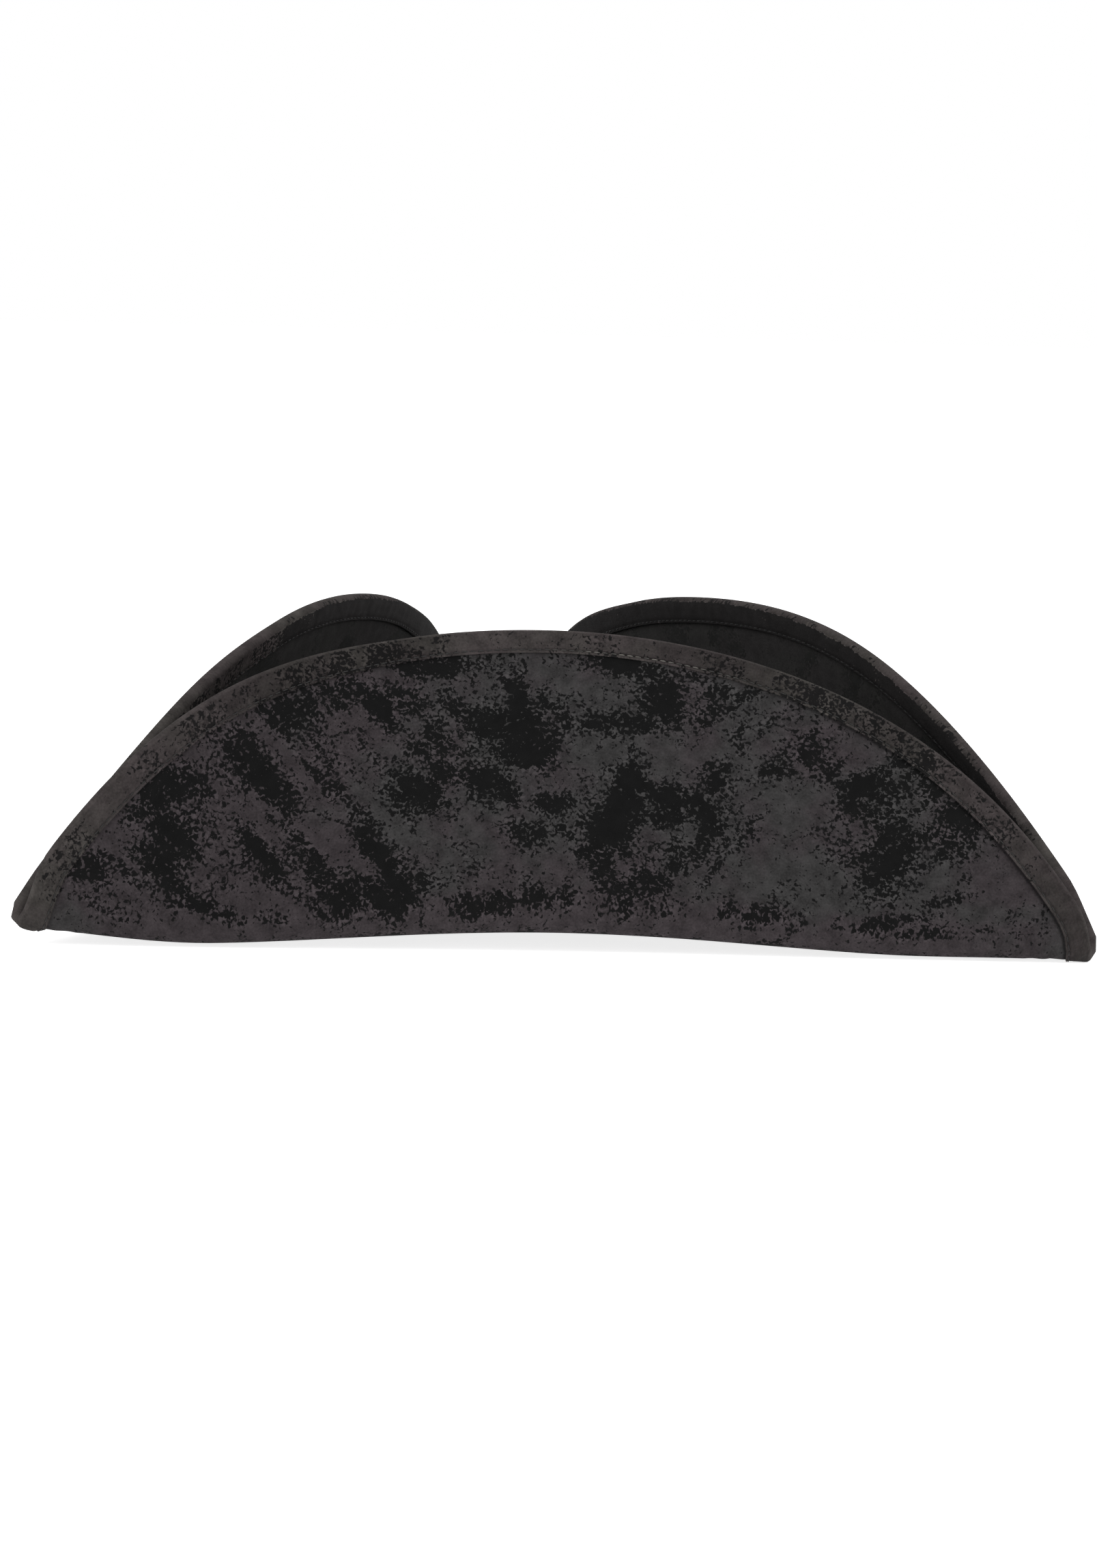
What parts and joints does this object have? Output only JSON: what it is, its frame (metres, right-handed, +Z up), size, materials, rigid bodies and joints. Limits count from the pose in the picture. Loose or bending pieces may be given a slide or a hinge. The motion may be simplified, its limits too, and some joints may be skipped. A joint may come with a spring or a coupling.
{
  "type": "tricorn hat",
  "caption": "Three-cornered costume hat: a stiffened round suede brim folded up along straight folds against a low oval crown, with a wired, bound edge.",
  "frame": {"origin": "centre of the hat's length and width, on the surface that its lowest folds rest on", "axes": "+Z up; +Y towards the front point; +X towards the wearer's right, along the back fold"},
  "size_m": [0.4111, 0.3742, 0.1261],
  "materials": {
    "suede": "matt distressed faux suede, dark grey with near-black worn patches",
    "suede_inner": "matt faux suede, near black",
    "binding": "matt faux suede strip, folded over the edge, dark grey",
    "stiffener": "matt needled felt interlining, charcoal",
    "buckram": "sized open-weave cotton, off-white",
    "lining": "black lining cloth, slight sheen",
    "sweatband": "black ribbed ribbon, slight sheen",
    "thread": "black sewing thread",
    "thread_grey": "grey sewing thread",
    "wire": "plain drawn steel"
  },
  "bodies": {
    "root": {"crown_tip": "suede", "crown_side": "suede", "crown_tip_stiffener": "buckram", "crown_side_stiffener": "buckram", "crown_tip_lining": "lining", "crown_side_lining": "lining", "crown_tip_topstitching": "thread", "crown_back_seam_stitching": "thread", "sweatband": "sweatband", "sweatband_stitching": "thread", "head_seam_stitching": "thread", "brim_outer_fabric": "suede", "brim_inner_fabric": "suede_inner", "brim_stiffener": "stiffener", "brim_edge_wire": "wire", "brim_binding": "binding", "binding_stitching_outer": "thread_grey", "binding_stitching_inner": "thread_grey", "flap_tack_back": "thread", "flap_tack_left": "thread", "flap_tack_right": "thread"}
  },
  "joints": []
}
